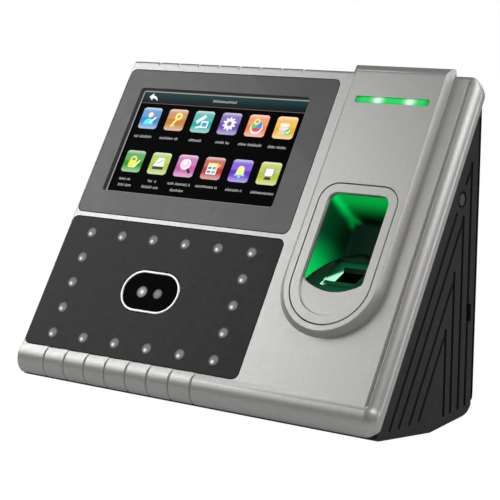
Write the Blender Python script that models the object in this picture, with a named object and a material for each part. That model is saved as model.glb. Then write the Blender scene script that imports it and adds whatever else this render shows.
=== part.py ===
"""Face and fingerprint access terminal: a wedge-shaped case with a sloping front.

The front is described in face coordinates: x to the viewer's right, v up along the sloping
face, n straight out of it. World coordinates are x right, y backwards, z up. Lengths are in
millimetres until MM turns them into metres.
"""

import math

import bmesh
import bpy
from mathutils import Matrix, Vector

MM = 0.001
GAP = 0.3                      # clearance between pieces that touch on the real object

# Case
HALF_WIDTH = 96.8              # silver front shell
SIDE_X = 96.0                  # black rear shell, slightly narrower
FACE_TILT = math.radians(34.1)  # the face leans back from vertical
FACE_FOOT_Y = -59.1            # where the face plane would meet the ground
REAR_Y = 45.5
TOP_Z = 151.8
SEAM_DEPTH = 6.6               # front shell's depth below the face
CROWN_RADIUS = 2.0             # radius between the face and the top
TOP_REAR_RADIUS = 0.5
WALL = 2.2
FACE_WALL = 4.0

# Underside: flat at the back, rising towards the lip
FLAT_FRONT_Y = 4.4
BELLY_SLOPE = 0.1625
REAR_FOOT_RADIUS = 9.0

# Lip below the infrared window
LIP_RADIUS = 8.4
LIP_PROUD = 0.8
LIP_TOP_V = 24.0
LIP_STEP_V = (25.2, 27.7)

# Grooves across the lip and the top edge
GROOVE_FIRST_X = -80.4
GROOVE_PITCH = 12.05
GROOVE_COUNT = 8
GROOVE_HALF = 0.5
GROOVE_DEPTH = 0.9
TOP_GROOVE_DEPTH = 1.1

# Long groove and bead along the right edge
BEAD_GROOVE_X = 90.7
BEAD_GROOVE_HALF = 0.8
BEAD_GROOVE_DEPTH = 1.4
BEAD_RADIUS = 7.0
BEAD_ANGLES = range(10, 66, 11)  # slope of the bead from the groove to the side, in degrees
GROOVE_RUN_OUT = (3.6, 1.6)    # where the groove starts and stops rising, below the top corner
LEFT_EDGE_RADIUS = 1.1
TOP_SHARE = 1.8                # the top falls faster than the face where the ends round off

# Raised tongue that carries the status light and the fingerprint reader
TONGUE_RISE = 4.6
TONGUE_TOP_Z = 155.0
TONGUE_CROWN = 7.0             # radius between the tongue's face and its top
TONGUE_X = (31.4, 82.6)
TONGUE_LEFT_RAMP = 4.0
TONGUE_RIGHT_RAMP = 1.6
TONGUE_CENTRE_V = 78.6

# Panels let into the face
PANEL_THICK = 2.0
PANEL_CORNER = 3.0
BEZEL_X = (-95.4, 26.1)
BEZEL_V = (98.8, 178.7)
IR_X = (-95.8, 25.8)
IR_V = (28.3, 95.9)
DISPLAY_CENTRE = (-36.2, 139.8)
DISPLAY_SIZE = (96.9, 56.4)

# Cameras
CAMERA_CENTRE = (-35.3, 62.2)
CAMERA_RING_SIZE = (32.6, 20.8)
LENS_CENTRES = {"left": (-39.8, 61.8), "right": (-30.8, 61.8)}

# Infrared lamps: a frame of six by five places with an empty middle
LED_FIRST = (-81.2, 35.1)
LED_PITCH = (18.5, 13.2)
LED_COLUMNS, LED_ROWS = 6, 5

# Fingerprint reader
READER_X = (38.9, 77.6)
READER_V = (57.4, 124.1)
READER_CORNER = 8.5
READER_RIM = 4.4
READER_GAP = 0.45
WELL_X = (43.4, 73.6)
WELL_V = (77.0, 119.7)
WELL_CORNER = 4.2
WELL_FLOOR_N = -14.0
WELL_FLOOR_X = (50.2, 67.0)
WELL_FLOOR_V = (99.0, 112.6)

# Status light
LIGHT_CENTRE = (58.5, 166.8)
LIGHT_SIZE = (36.6, 2.8)

# Rear
RECESS_Y = 43.1                # floor of the wall plate's recess
RECESS_HALF_X = 78.6
RECESS_Z = (11.4, 106.6)
PLATE_BACK_Y = 46.0
PLATE_THICK = 2.2
BAY_HALF_X = 62.0
BAY_Z = (20.0, 42.0)
INNER_REAR_Y = 40.9
UPPER_REAR_Y = 43.5

# Side
BUTTON_Y, BUTTON_Z = 28.0, 99.7
BUTTON_RADIUS = 2.7
USB_CENTRE = (37.8, 47.4)
USB_OPENING = (4.4, 8.2)
RIB_WIDTH = 1.9
RIB_DEPTH = 0.9

# Boards
BOARD_FRONT_Y = 30.1
BOARD_THICK = 1.6
BOARD_REAR_Y = BOARD_FRONT_Y + BOARD_THICK
TAMPER_X, TAMPER_Z = 30.0, 92.0
TAMPER_PROUD = 1.7             # how far the relaxed plunger stands out of the wall plate

SIN, COS = math.sin(FACE_TILT), math.cos(FACE_TILT)
FACE = Matrix(((1, 0, 0, 0), (0, SIN, -COS, FACE_FOOT_Y), (0, COS, SIN, 0), (0, 0, 0, 1)))
SIDE = Matrix(((0, 0, 1, 0), (1, 0, 0, 0), (0, 1, 0, 0), (0, 0, 0, 1)))    # (y, z, x)
BACK = Matrix(((1, 0, 0, 0), (0, 0, -1, 0), (0, 1, 0, 0), (0, 0, 0, 1)))   # (x, z, -y)
FLAT = Matrix.Identity(4)                                                  # (x, y, z)


def face_yz(v, n):
    """World y and z of a point of the face's section."""
    return FACE_FOOT_Y + v * SIN - n * COS, v * COS + n * SIN


# ---------------------------------------------------------------- outlines

def arc(centre, radius, start, end, steps):
    """Points along an arc, angles in degrees, both ends included."""
    angles = [math.radians(start + (end - start) * i / steps) for i in range(steps + 1)]
    return [(centre[0] + radius * math.cos(a), centre[1] + radius * math.sin(a)) for a in angles]


def circle(centre, radius, steps=16):
    return arc(centre, radius, 0, 360, steps)[:-1]


def rectangle(a_range, b_range):
    (a0, a1), (b0, b1) = a_range, b_range
    return [(a0, b0), (a1, b0), (a1, b1), (a0, b1)]


def rounded(a_range, b_range, radius, steps=4):
    """Rectangle with round corners, anticlockwise from the lower right."""
    (a0, a1), (b0, b1) = a_range, b_range
    return (arc((a1 - radius, b0 + radius), radius, -90, 0, steps)
            + arc((a1 - radius, b1 - radius), radius, 0, 90, steps)
            + arc((a0 + radius, b1 - radius), radius, 90, 180, steps)
            + arc((a0 + radius, b0 + radius), radius, 180, 270, steps))


def centred(centre, size):
    return ((centre[0] - size[0] / 2, centre[0] + size[0] / 2),
            (centre[1] - size[1] / 2, centre[1] + size[1] / 2))


def stadium(centre, size, steps=8):
    reach = (size[0] - size[1]) / 2
    radius = size[1] / 2
    return (arc((centre[0] + reach, centre[1]), radius, -90, 90, steps)
            + arc((centre[0] - reach, centre[1]), radius, 90, 270, steps))


def fillet(before, corner, after, radius, steps=3):
    """Round a corner of an outline with an arc that is tangent to both sides."""
    corner = Vector(corner)
    to_before = (Vector(before) - corner).normalized()
    to_after = (Vector(after) - corner).normalized()
    half = to_before.angle(to_after) / 2
    centre = corner + (to_before + to_after).normalized() * radius / math.sin(half)
    start = corner + to_before * radius / math.tan(half) - centre
    end = corner + to_after * radius / math.tan(half) - centre
    turn = start.angle_signed(end)
    return [tuple(centre + Matrix.Rotation(-turn * i / steps, 2) @ start) for i in range(steps + 1)]


# ---------------------------------------------------------------- solids

def mesh_object(name, points, faces):
    """Closed mesh object from points in millimetres."""
    mesh = bpy.data.meshes.new(name)
    mesh.from_pydata([Vector(p) * MM for p in points], [], faces)
    shape = bmesh.new()
    shape.from_mesh(mesh)
    bmesh.ops.recalc_face_normals(shape, faces=shape.faces)
    shape.to_mesh(mesh)
    shape.free()
    result = bpy.data.objects.new(name, mesh)
    bpy.context.scene.collection.objects.link(result)
    return result


def loft(name, rings):
    """Solid through closed rings of points that all have the same count."""
    count = len(rings[0])
    points = [p for ring in rings for p in ring]
    faces = [list(range(count))[::-1]]
    for level in range(len(rings) - 1):
        low, high = level * count, (level + 1) * count
        faces += [(low + i, low + (i + 1) % count, high + (i + 1) % count, high + i)
                  for i in range(count)]
    faces.append(list(range((len(rings) - 1) * count, len(rings) * count)))
    return mesh_object(name, points, faces)


def prism(name, outline, span, place=FLAT):
    """Outline in the first two axes of a place, extruded along the third."""
    rings = [[place @ Vector((a, b, level)) for a, b in outline] for level in span]
    return loft(name, rings)


def block(name, x, y, z):
    return prism(name, rectangle(x, y), z)


def cylinder_y(name, x, z, radius, span, steps=16):
    """Cylinder along y, span from front to back."""
    return prism(name, circle((x, z), radius, steps), (-span[1], -span[0]), BACK)


def cylinder_x(name, y, z, radius, span, steps=16):
    return prism(name, circle((y, z), radius, steps), span, SIDE)


def boolean(target, tool, operation):
    """Cut or join with an exact Boolean, then drop the tool."""
    step = target.modifiers.new(operation, "BOOLEAN")
    step.operation = operation
    step.object = tool
    bpy.context.view_layer.update()
    seen = target.evaluated_get(bpy.context.evaluated_depsgraph_get())
    mesh = bpy.data.meshes.new_from_object(seen)
    target.modifiers.clear()
    target.data = mesh
    bpy.data.objects.remove(tool)


def cut(target, *tools):
    for tool in tools:
        boolean(target, tool, "DIFFERENCE")


def join(target, *tools):
    for tool in tools:
        boolean(target, tool, "UNION")


def origin_at(piece, point):
    """Move a piece's origin without moving its surface."""
    point = Vector(point) * MM
    piece.data.transform(Matrix.Translation(-point))
    piece.location = point


def finish(piece, colour, roughness, metallic=0.0):
    """Name, weld and give a piece its own material."""
    shape = bmesh.new()
    shape.from_mesh(piece.data)
    bmesh.ops.remove_doubles(shape, verts=shape.verts, dist=0.00001)
    bmesh.ops.dissolve_degenerate(shape, edges=shape.edges, dist=0.00001)
    shape.to_mesh(piece.data)
    shape.free()
    piece.data.name = piece.name
    material = bpy.data.materials.new(piece.name)
    material.use_nodes = True
    shader = material.node_tree.nodes["Principled BSDF"]
    shader.inputs["Base Color"].default_value = (*colour, 1.0)
    shader.inputs["Roughness"].default_value = roughness
    shader.inputs["Metallic"].default_value = metallic
    piece.data.materials.clear()
    piece.data.materials.append(material)
    return piece


SILVER = ((0.42, 0.41, 0.39), 0.38, 0.6)
CASE_BLACK = ((0.028, 0.028, 0.030), 0.55)
PANEL_GREY = ((0.10, 0.10, 0.105), 0.42)
GLASS_BLACK = ((0.018, 0.018, 0.020), 0.12)
BOARD_GREEN = ((0.02, 0.16, 0.07), 0.50)
METAL = ((0.62, 0.62, 0.60), 0.32, 1.0)
LAMP_CLEAR = ((0.62, 0.62, 0.60), 0.18)
TERMINAL_GREEN = ((0.03, 0.30, 0.10), 0.45)


# ---------------------------------------------------------------- front shell

def lip_arc(inset, depth, end, steps):
    """The lip's round from the seam at this depth below the face to an end angle."""
    radius = LIP_RADIUS - inset
    offset = math.asin((LIP_RADIUS - LIP_PROUD - depth) / radius)
    start = -90 - math.degrees(FACE_TILT + offset)
    return arc(face_yz(LIP_TOP_V, LIP_PROUD - LIP_RADIUS), radius, start, end, steps)


def shell_section(lip_inset=0.0, face_inset=0.0, top_inset=0.0, groove=0.0):
    """Section of the front shell as (y, z) points, its outer skin moved inwards by the insets.

    A groove lowers the face only, and runs out just below the top.
    """
    top = TOP_Z - top_inset
    corner_v = (top + face_inset * SIN) / COS
    lip = lip_arc(lip_inset, SEAM_DEPTH, -180 - math.degrees(FACE_TILT), 12)
    step = [face_yz(LIP_STEP_V[0], LIP_PROUD - lip_inset), face_yz(LIP_STEP_V[1], -face_inset - groove)]
    run_out = [face_yz(corner_v - GROOVE_RUN_OUT[0], -face_inset - groove),
               face_yz(corner_v - GROOVE_RUN_OUT[1], -face_inset)]
    corner = face_yz(corner_v, -face_inset)
    below = face_yz(corner_v - 20, -face_inset)
    top_corner = (REAR_Y, top)
    seam_v = (REAR_Y - FACE_FOOT_Y - SEAM_DEPTH * COS) / SIN
    seam_top = face_yz(seam_v, -SEAM_DEPTH)
    shelf = ((corner[0] + top_corner[0]) / 2, top)
    crown = fillet(below, corner, shelf, CROWN_RADIUS, 4)
    crown += fillet(shelf, top_corner, seam_top, TOP_REAR_RADIUS)
    return lip + step + run_out + crown + [seam_top]


def shell_stations():
    """Positions along x with the insets and the groove that shape the edges."""
    stations = []
    for angle in (0, 45, 90):
        turn = math.radians(angle)
        inset = LEFT_EDGE_RADIUS * (1 - math.sin(turn))
        x = -HALF_WIDTH + LEFT_EDGE_RADIUS * (1 - math.cos(turn))
        stations.append((x, inset, inset, TOP_SHARE * inset, 0))
    for index in range(GROOVE_COUNT):
        x = GROOVE_FIRST_X + index * GROOVE_PITCH
        stations += [(x - GROOVE_HALF, 0, 0, 0, 0), (x, GROOVE_DEPTH, 0, TOP_GROOVE_DEPTH, 0),
                     (x + GROOVE_HALF, 0, 0, 0, 0)]
    stations += [(BEAD_GROOVE_X - BEAD_GROOVE_HALF, 0, 0, 0, 0),
                 (BEAD_GROOVE_X, 0, 0, 0, BEAD_GROOVE_DEPTH)]
    reach = math.sin(math.radians(BEAD_ANGLES[-1]))
    for angle in BEAD_ANGLES:
        turn = math.radians(angle)
        inset = BEAD_RADIUS * (1 - math.cos(turn))
        x = HALF_WIDTH - BEAD_RADIUS * (reach - math.sin(turn))
        stations.append((x, inset, inset, TOP_SHARE * inset, 0))
    return stations


def tongue():
    """Raised tongue: a flat-topped ramp cut off level with its own top edge."""
    def outline(inset_left, inset_right, inset_low):
        left, right = TONGUE_X[0] + inset_left, TONGUE_X[1] - inset_right
        half = (right - left) / 2
        drop = (TONGUE_X[1] - TONGUE_X[0]) / 2 - inset_low
        low = [((left + right) / 2 + x, TONGUE_CENTRE_V + y * drop / half)
               for x, y in arc((0, 0), half, -180, 0, 18)]
        return [(left, 215.0)] + low + [(right, 215.0)]
    levels = ((0.0, -2.5), (0.0, 0.0), (0.75, TONGUE_RISE - 0.7), (1.0, TONGUE_RISE))
    rings = []
    for share, n in levels:
        ring = outline(TONGUE_LEFT_RAMP * share, TONGUE_RIGHT_RAMP * share, 1.4 * share)
        rings.append([FACE @ Vector((x, v, n)) for x, v in ring])
    ramp = loft("tongue", rings)
    corner_v = (TONGUE_TOP_Z - TONGUE_RISE * SIN) / COS
    face_corner = face_yz(corner_v, TONGUE_RISE)
    shelf = (REAR_Y - 1.5, TONGUE_TOP_Z)
    crown = (fillet(face_yz(corner_v - 20, TONGUE_RISE), face_corner, shelf, TONGUE_CROWN, 6)
             + fillet(shelf, (REAR_Y, TONGUE_TOP_Z), (REAR_Y, 140.0), 1.0))
    low_back = face_yz(46.0, -2.0)
    low_front = face_yz(46.0, TONGUE_RISE)
    behind = (REAR_Y, 145.5)
    keep = prism("tongue_limit", [low_front] + crown + [behind, low_back], (25.0, 90.0), SIDE)
    boolean(ramp, keep, "INTERSECT")
    return ramp


def reader_outline(inset):
    """Outline of the fingerprint reader: round at the bottom, soft corners at the top."""
    left, right = READER_X[0] + inset, READER_X[1] - inset
    top = READER_V[1] - inset
    low_radius = (right - left) / 2
    corner = READER_CORNER - inset
    centre_v = READER_V[0] + (READER_X[1] - READER_X[0]) / 2
    return (arc(((left + right) / 2, centre_v), low_radius, -180, 0, 18)
            + arc((right - corner, top - corner), corner, 0, 90, 5)
            + arc((left + corner, top - corner), corner, 90, 180, 5))


def screw_posts():
    """The four case screws: x, z, where front post and rear tube meet, and the post's start."""
    return [(x, z, meet, start) for z, meet, start in ((14.0, -1.0, -44.4), (80.0, 19.0, -2.4))
            for x in (-86.0, 86.0)]


def front_shell():
    rings = []
    for x, lip, face, top, groove in shell_stations():
        rings.append([(x, y, z) for y, z in shell_section(lip, face, top, groove)])
    shell = loft("front_shell", rings)
    join(shell, tongue())
    pocket_low = face_yz(20.0, -FACE_WALL), face_yz(20.0, -14.9)
    corner_v = (UPPER_REAR_Y - FACE_FOOT_Y - FACE_WALL * COS) / SIN
    pocket_top = face_yz(corner_v, -FACE_WALL)
    outline = [pocket_low[0], pocket_top, (UPPER_REAR_Y, 125.0), pocket_low[1]]
    cut(shell, prism("pocket", outline, (-HALF_WIDTH + 2.4, HALF_WIDTH - 3.4), SIDE))
    cut(shell, prism("tongue_pocket", rectangle((38.2, 78.6), (130.0, 172.5)), (-9.0, 2.2), FACE))
    for x, z, meet, start in screw_posts():
        join(shell, cylinder_y("post", x, z, 3.6, (start, meet - GAP)))
        cut(shell, cylinder_y("post_bore", x, z, 1.6, (meet - 13.0, meet + 2.0), 12))
    for x_range, v_range in ((BEZEL_X, BEZEL_V), (IR_X, IR_V)):
        grown = [(r[0] - GAP, r[1] + GAP) for r in (x_range, v_range)]
        cut(shell, prism("recess", rounded(*grown, PANEL_CORNER + GAP), (-PANEL_THICK - GAP, 6.0), FACE))
    touch = centred(DISPLAY_CENTRE, (DISPLAY_SIZE[0] + 3.9, DISPLAY_SIZE[1] + 3.8))
    cut(shell, prism("touch_hole", rounded(*touch, 1.5), (-9.0, 3.0), FACE))
    lamps = (IR_X[0] + 3.3, IR_X[1] - 3.3), (IR_V[0] + 3.2, IR_V[1] - 3.2)
    cut(shell, prism("lamp_hole", rounded(*lamps, 2.0), (-9.0, 3.0), FACE))
    cut(shell, prism("reader_hole", reader_outline(-READER_GAP), (-12.0, 12.0), FACE))
    bar = centred(LIGHT_CENTRE, (LIGHT_SIZE[0] + 2 * GAP, LIGHT_SIZE[1] + 2 * GAP))
    cut(shell, prism("light_slot", rounded(*bar, 0.9, 3), (-1.0, 12.0), FACE))
    return finish(shell, *SILVER)


# ---------------------------------------------------------------- rear shell

def rear_section(inset=0.0):
    """Section of the rear shell as (y, z) points, clear of the front shell by the gap."""
    depth = SEAM_DEPTH + GAP
    low = lip_arc(inset, depth, -90 - math.degrees(math.atan(BELLY_SLOPE)), 4)
    rear = REAR_Y - inset
    end_v = (rear - FACE_FOOT_Y - depth * COS) / SIN
    foot = arc((REAR_Y - REAR_FOOT_RADIUS, REAR_FOOT_RADIUS), REAR_FOOT_RADIUS - inset, -90, 0, 6)
    return low + [(FLAT_FRONT_Y, inset)] + foot + [face_yz(end_v, -depth)]


def chevrons(side):
    """Cutters of the nested grooves: an upright stroke and one along the face for each."""
    low_z = 4.8
    uprights = [(15.7, 44.0), (22.3, 68.5), (29.7, 92.5), (36.6, 115.5), (43.5, 134.5)]
    depths = [37.9, 30.7, 22.6, 15.4]
    tools = []
    for index, (y, top_z) in enumerate(uprights):
        half = RIB_WIDTH / 2
        strokes = [rectangle((y - half, y + half), (low_z, top_z))]
        if index < len(depths):
            depth = depths[index]
            high_v = (y - FACE_FOOT_Y - depth * COS) / SIN
            low_v = (11.0 + depth * SIN - 0.08 * depth) / COS
            strokes.append([face_yz(low_v, -depth - half), face_yz(high_v, -depth - half),
                            face_yz(high_v, -depth + half), face_yz(low_v, -depth + half)])
        span = sorted((side * (SIDE_X - RIB_DEPTH), side * (SIDE_X + 5)))
        tools += [prism("groove", stroke, span, SIDE) for stroke in strokes]
    return tools


def rear_shell():
    rings = []
    for x, inset in ((-SIDE_X, 0.8), (-SIDE_X + 0.8, 0.0), (SIDE_X - 0.8, 0.0), (SIDE_X, 0.8)):
        rings.append([(x, y, z) for y, z in rear_section(inset)])
    shell = loft("rear_shell", rings)
    floor = face_yz(20.0, 0.0)
    inner = [(floor[0] - 8, BELLY_SLOPE * (FLAT_FRONT_Y - floor[0] + 8) + WALL),
             (FLAT_FRONT_Y, WALL), (INNER_REAR_Y, WALL), (INNER_REAR_Y, 108.8), (UPPER_REAR_Y, 111.4),
             (UPPER_REAR_Y, 160.0), (floor[0] - 8, 160.0)]
    cut(shell, prism("cavity", inner, (-SIDE_X + WALL, SIDE_X - WALL), SIDE))
    for side in (-1, 1):
        cut(shell, *chevrons(side))
    for x, z, meet, _ in screw_posts():
        join(shell, cylinder_y("tube", x, z, 4.8, (meet, INNER_REAR_Y + 1.0)))
        cut(shell, cylinder_y("tube_bore", x, z, 3.2, (meet + 2.2, REAR_Y + 4.0)))
        cut(shell, cylinder_y("tube_hole", x, z, 1.7, (meet - 2.0, meet + 4.0), 12))
    for x, z in board_fixings():
        join(shell, cylinder_y("stand", x, z, 3.5, (BOARD_REAR_Y + GAP, INNER_REAR_Y + 1.0)))
        cut(shell, cylinder_y("stand_bore", x, z, 1.4, (BOARD_REAR_Y - 2.0, INNER_REAR_Y - 1.5), 12))
    half = RECESS_HALF_X
    cut(shell, block("plate_recess", (-half, half), (RECESS_Y, REAR_Y + 5), RECESS_Z))
    cut(shell, block("bay", (-BAY_HALF_X, BAY_HALF_X), (INNER_REAR_Y - 2, RECESS_Y + 2), BAY_Z))
    for x, z in tab_places():
        slot = block("tab_slot", (x - 5.6, x + 5.6), (INNER_REAR_Y - 2, RECESS_Y + 2), (z - 1.7, z + 1.7))
        cut(shell, slot)
    cut(shell, cylinder_y("tamper_hole", TAMPER_X, TAMPER_Z, 2.0, (INNER_REAR_Y - 2, RECESS_Y + 2)))
    cut_side_features(shell)
    for index in range(5):
        y = 10.0 + 4.0 * index
        cut(shell, block("speaker_slot", (-56.0, -36.0), (y - 0.7, y + 0.7), (-2.0, WALL + 2.0)))
    return finish(shell, *CASE_BLACK)


def cut_side_features(shell):
    """Power button's seat, its hole and the service port's opening, all on the right side."""
    join(shell, cylinder_x("pad", BUTTON_Y, BUTTON_Z, 7.0, (SIDE_X - 1.2, SIDE_X), 24))
    ring = cylinder_x("ring_cut", BUTTON_Y, BUTTON_Z, 3.9, (SIDE_X - 0.7, SIDE_X + 3), 20)
    cut(shell, ring)
    cut(shell, cylinder_x("button_hole", BUTTON_Y, BUTTON_Z, BUTTON_RADIUS + GAP, (80.0, 100.0), 20))
    y, z = USB_CENTRE
    opening = rounded(*centred((y, z), USB_OPENING), 0.8, 2)
    cut(shell, prism("usb_opening", opening, (SIDE_X - 6.0, SIDE_X + 3.0), SIDE))


def board_fixings():
    return [(x, z) for x in (-71.0, 71.0) for z in (16.0, 99.0)]


def tab_places():
    return [(-45.0, 74.0), (45.0, 74.0)]


# ---------------------------------------------------------------- face pieces

def screen_pieces():
    bezel = prism("screen_bezel", rounded(BEZEL_X, BEZEL_V, PANEL_CORNER), (-PANEL_THICK, 0.0), FACE)
    low = [FACE @ Vector((x, v, -3.0)) for x, v in rounded(*centred(DISPLAY_CENTRE, DISPLAY_SIZE), 0.8, 2)]
    wide = (DISPLAY_SIZE[0] + 1.6, DISPLAY_SIZE[1] + 1.6)
    high = [FACE @ Vector((x, v, 0.5)) for x, v in rounded(*centred(DISPLAY_CENTRE, wide), 1.6, 2)]
    cut(bezel, loft("display_window", [low, high]))
    finish(bezel, *PANEL_GREY)
    touch_size = (DISPLAY_SIZE[0] + 3.3, DISPLAY_SIZE[1] + 3.2)
    touch = prism("touch_panel", rounded(*centred(DISPLAY_CENTRE, touch_size), 1.2, 2), (-3.7, -2.3), FACE)
    finish(touch, *GLASS_BLACK)
    module = rectangle(*centred((DISPLAY_CENTRE[0], DISPLAY_CENTRE[1] - 0.4), (105.4, 64.4)))
    finish(prism("lcd_module", module, (-6.8, -4.3), FACE), *METAL)


def infrared_pieces():
    window = prism("ir_window", rounded(IR_X, IR_V, PANEL_CORNER), (-PANEL_THICK, 0.0), FACE)
    hole = (CAMERA_RING_SIZE[0] + 0.6, CAMERA_RING_SIZE[1] + 0.6)
    cut(window, prism("ring_hole", stadium(CAMERA_CENTRE, hole), (-4.0, 2.0), FACE))
    finish(window, *GLASS_BLACK)
    ring = prism("camera_ring", stadium(CAMERA_CENTRE, CAMERA_RING_SIZE), (-PANEL_THICK, 0.2), FACE)
    inner = (CAMERA_RING_SIZE[0] - 2.6, CAMERA_RING_SIZE[1] - 2.6)
    cut(ring, prism("ring_inside", stadium(CAMERA_CENTRE, inner), (-4.0, 2.0), FACE))
    finish(ring, *METAL)
    cover = (inner[0] - 0.6, inner[1] - 0.6)
    finish(prism("camera_cover", stadium(CAMERA_CENTRE, cover), (-1.6, -0.2), FACE), *GLASS_BLACK)
    board = rectangle((IR_X[0] + 2.0, IR_X[1] - 1.0), (IR_V[0] + 2.6, IR_V[1] - 2.4))
    lamp_board = prism("ir_led_board", board, (-5.9, -4.3), FACE)
    cut(lamp_board, prism("camera_gap", stadium(CAMERA_CENTRE, (38.0, 25.0), 6), (-8.0, -2.0), FACE))
    finish(lamp_board, *BOARD_GREEN)
    camera_board = prism("camera_board", rectangle((-54.0, -16.6), (50.0, 75.0)), (-12.2, -10.6), FACE)
    finish(camera_board, *BOARD_GREEN)
    for side, centre in LENS_CENTRES.items():
        barrel = prism(f"camera_lens_{side}", circle(centre, 4.0), (-10.3, -3.2), FACE)
        cut(barrel, prism("lens_cup", circle(centre, 2.6, 14), (-4.4, -2.0), FACE))
        finish(barrel, *GLASS_BLACK)


def lamp_places():
    """Centres of the infrared lamps, round the outside of the grid, bottom row first."""
    places = []
    for row in range(LED_ROWS):
        for column in range(LED_COLUMNS):
            if row in (0, LED_ROWS - 1) or column in (0, LED_COLUMNS - 1):
                places.append((LED_FIRST[0] + column * LED_PITCH[0], LED_FIRST[1] + row * LED_PITCH[1]))
    return places


def infrared_lamps():
    profile = ((2.8, -4.0), (2.8, -3.4), (2.3, -2.9), (1.2, -2.6))
    for number, (x, v) in enumerate(lamp_places(), start=1):
        rings = [[FACE @ Vector((a, b, n)) for a, b in circle((x, v), radius, 12)]
                 for radius, n in profile]
        finish(loft(f"ir_led_{number:02d}", rings), *LAMP_CLEAR)


def status_light():
    bar = centred(LIGHT_CENTRE, LIGHT_SIZE)
    finish(prism("status_light_bar", rounded(*bar, 0.6, 3), (0.8, 4.5), FACE), (0.03, 0.62, 0.16), 0.2)
    board = rectangle(*centred((58.5, 166.4), (38.0, 9.0)))
    finish(prism("status_led_board", board, (-1.1, 0.5), FACE), *BOARD_GREEN)


# ---------------------------------------------------------------- fingerprint reader

def slope_place():
    """Place on the reader's inclined platform: x across, then up the slope, then out of it."""
    run, drop = WELL_FLOOR_V[0] - WELL_V[0], 2.0 - WELL_FLOOR_N
    along = Vector((0, run, -drop)).normalized()
    out = Vector((1, 0, 0)).cross(along)
    start = Vector(((WELL_X[0] + WELL_X[1]) / 2, WELL_V[0], 2.0))
    columns = (Vector((1, 0, 0)), along, out, start)
    rows = [[column[i] for column in columns] for i in range(3)] + [[0, 0, 0, 1]]
    return FACE @ Matrix(rows)


def reader_pieces():
    rise = TONGUE_RISE
    bezel = prism("sensor_bezel", reader_outline(0.0), (2.2, rise), FACE)
    cut(bezel, prism("inner_step", reader_outline(READER_RIM), (rise - 0.9, rise + 4), FACE))
    middle = (WELL_X[0] + WELL_X[1]) / 2
    chin = arc((middle, 96.6), 23.6, -129.5, -50.5, 8)
    top_v = WELL_V[1] - WELL_CORNER
    top = (arc((WELL_X[1] - WELL_CORNER, top_v), WELL_CORNER, 0, 90, 5)
           + arc((WELL_X[0] + WELL_CORNER, top_v), WELL_CORNER, 90, 180, 5))
    cut(bezel, prism("finger_opening", chin + top, (-1.0, rise + 5), FACE))
    finish(bezel, *SILVER)

    guide = prism("finger_guide", reader_outline(0.2), (-16.5, 1.9), FACE)
    mouth = rectangle((WELL_X[0] + 0.1, WELL_X[1] - 0.1), (WELL_V[0], WELL_V[1]))
    floor = rectangle(WELL_FLOOR_X, WELL_FLOOR_V)
    rings = [[FACE @ Vector((x, v, WELL_FLOOR_N)) for x, v in floor],
             [FACE @ Vector((x, v, 2.0)) for x, v in mouth]]
    well = loft("well", rings)
    cut(guide, well)
    place = slope_place()
    cut(guide, prism("prism_pocket", rectangle((-8.3, 8.3), (1.7, 20.3)), (-6.3, 9.0), place))
    finish(guide, *GLASS_BLACK)
    glass = [[place @ Vector((x, s, m)) for x, s in rectangle((-8 + t, 8 - t), (2 + t, 20 - t))]
             for t, m in ((0.0, -6.0), (0.0, 0.1), (1.4, 1.1))]
    finish(loft("sensor_prism", glass), (0.06, 0.30, 0.12), 0.05)
    board = rectangle((41.0, 76.0), (66.0, 120.0))
    finish(prism("sensor_board", board, (-18.4, -16.8), FACE), *BOARD_GREEN)


# ---------------------------------------------------------------- electronics

def main_board():
    ears = [(-78.0, 12.0), (78.0, 12.0), (78.0, 41.0), (89.0, 41.0), (89.0, 54.0), (78.0, 54.0),
            (78.0, 92.5), (90.0, 92.5), (90.0, 105.0), (-78.0, 105.0)]
    board = prism("main_board", ears, (-BOARD_REAR_Y, -BOARD_FRONT_Y), BACK)
    for x, z in board_fixings():
        cut(board, cylinder_y("board_hole", x, z, 1.7, (20.0, 39.0), 12))
    finish(board, *BOARD_GREEN)
    front = BOARD_FRONT_Y - GAP
    finish(block("processor_shield", (-42.0, 8.0), (front - 4.0, front), (52.0, 84.0)), *METAL)
    for number, (x, z) in enumerate(board_fixings(), start=1):
        head = cylinder_y(f"board_screw_{number}", x, z, 2.6, (front - 1.6, front), 12)
        join(head, cylinder_y("shank", x, z, 1.1, (front - 0.8, INNER_REAR_Y - 2.6), 10))
        finish(head, *METAL)


def rear_connectors():
    near = BOARD_REAR_Y + GAP
    far = RECESS_Y - 0.5
    jack = block("ethernet_jack", (-56.0, -40.0), (near, far), (23.5, 37.5))
    cut(jack, block("socket", (-53.9, -42.1), (near + 1.5, far + 2), (25.5, 34.0)))
    finish(jack, *METAL)
    power = block("power_jack", (-34.0, -24.0), (near, far), (25.0, 36.0))
    cut(power, cylinder_y("barrel", -29.0, 30.5, 3.1, (near + 1.5, far + 2)))
    finish(power, *CASE_BLACK)
    for name, start, ways in (("relay_terminals", -18.0, 6), ("wiegand_terminals", 19.0, 7)):
        end = start + ways * 5.08
        strip = block(name, (start, end), (near, far), (25.0, 36.0))
        for way in range(ways):
            x = start + (way + 0.5) * 5.08
            cut(strip, block("wire_hole", (x - 1.6, x + 1.6), (far - 6.0, far + 2), (26.4, 30.0)))
            cut(strip, cylinder_y("clamp_hole", x, 33.0, 1.4, (far - 3.0, far + 2), 10))
        finish(strip, *TERMINAL_GREEN)


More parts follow.
